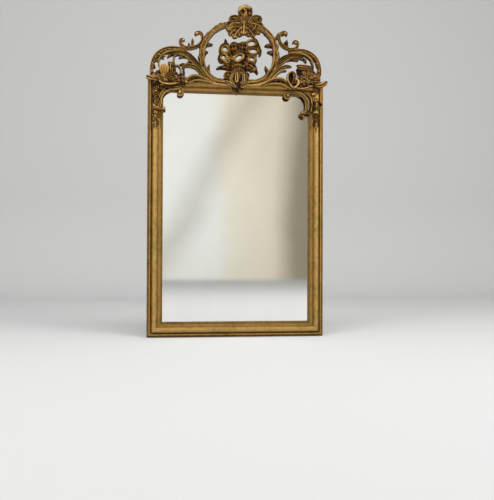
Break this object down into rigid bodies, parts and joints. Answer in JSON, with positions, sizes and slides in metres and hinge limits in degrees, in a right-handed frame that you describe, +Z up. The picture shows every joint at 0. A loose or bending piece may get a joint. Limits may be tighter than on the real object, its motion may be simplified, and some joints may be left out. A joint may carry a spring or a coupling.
{
  "type": "wall mirror",
  "caption": "Upright rectangular wall mirror with a gilt moulded frame, pearl string and a pierced carved acanthus crest.",
  "frame": {"origin": "on the frame's bottom face, half way across it, on the lap plane of the carcass", "axes": "+Z up, +Y towards the wall, -Y out of the mirror's front, +X to the right seen from the front"},
  "size_m": [0.8016, 0.073, 1.4533],
  "materials": {
    "gilt": "carved wood, water gilt over red bole, worn",
    "pine": "planed, aged",
    "backing": "sawn, aged",
    "mirror": "silvered glass",
    "iron": "dull iron",
    "brass": "aged brass"
  },
  "bodies": {
    "frame": {"carcass_stile_left": "pine", "carcass_stile_right": "pine", "carcass_rail_bottom": "pine", "carcass_rail_top": "pine", "moulding_left": "gilt", "moulding_right": "gilt", "moulding_bottom": "gilt", "moulding_top": "gilt", "pearls_left": "gilt", "pearls_right": "gilt", "pearls_top": "gilt", "pearls_bottom": "gilt", "mirror_glass": "mirror", "glazing_blocks": "pine", "backboard_1": "backing", "backboard_2": "backing", "backboard_3": "backing", "backboard_nails": "iron", "crest_ring": "gilt", "crest_wing_left": "gilt", "crest_wing_right": "gilt", "crest_cartouche": "gilt", "cartouche_foot": "gilt", "palmette": "gilt", "finial": "gilt", "corner_foliage_left": "gilt", "corner_foliage_right": "gilt", "spandrel_scroll_left": "gilt", "spandrel_scroll_right": "gilt", "stile_drop_left": "gilt", "stile_drop_right": "gilt", "crest_batten_left": "pine", "crest_batten_centre": "pine", "crest_batten_right": "pine", "batten_screws": "iron", "hanger_strap_left": "brass", "hanger_strap_right": "brass", "strap_screws": "brass"},
    "ring_left": {"hanging_ring_left": "brass"},
    "ring_right": {"hanging_ring_right": "brass"}
  },
  "joints": [
    {"name": "ring_left_hinge", "type": "hinge", "parent": "frame", "child": "ring_left", "pos_m": [-0.359, 0.0155, 0.86], "axis": [1, 0, 0], "range_deg": [0, 175]},
    {"name": "ring_right_hinge", "type": "hinge", "parent": "frame", "child": "ring_right", "pos_m": [0.359, 0.0155, 0.86], "axis": [1, 0, 0], "range_deg": [0, 175]}
  ]
}
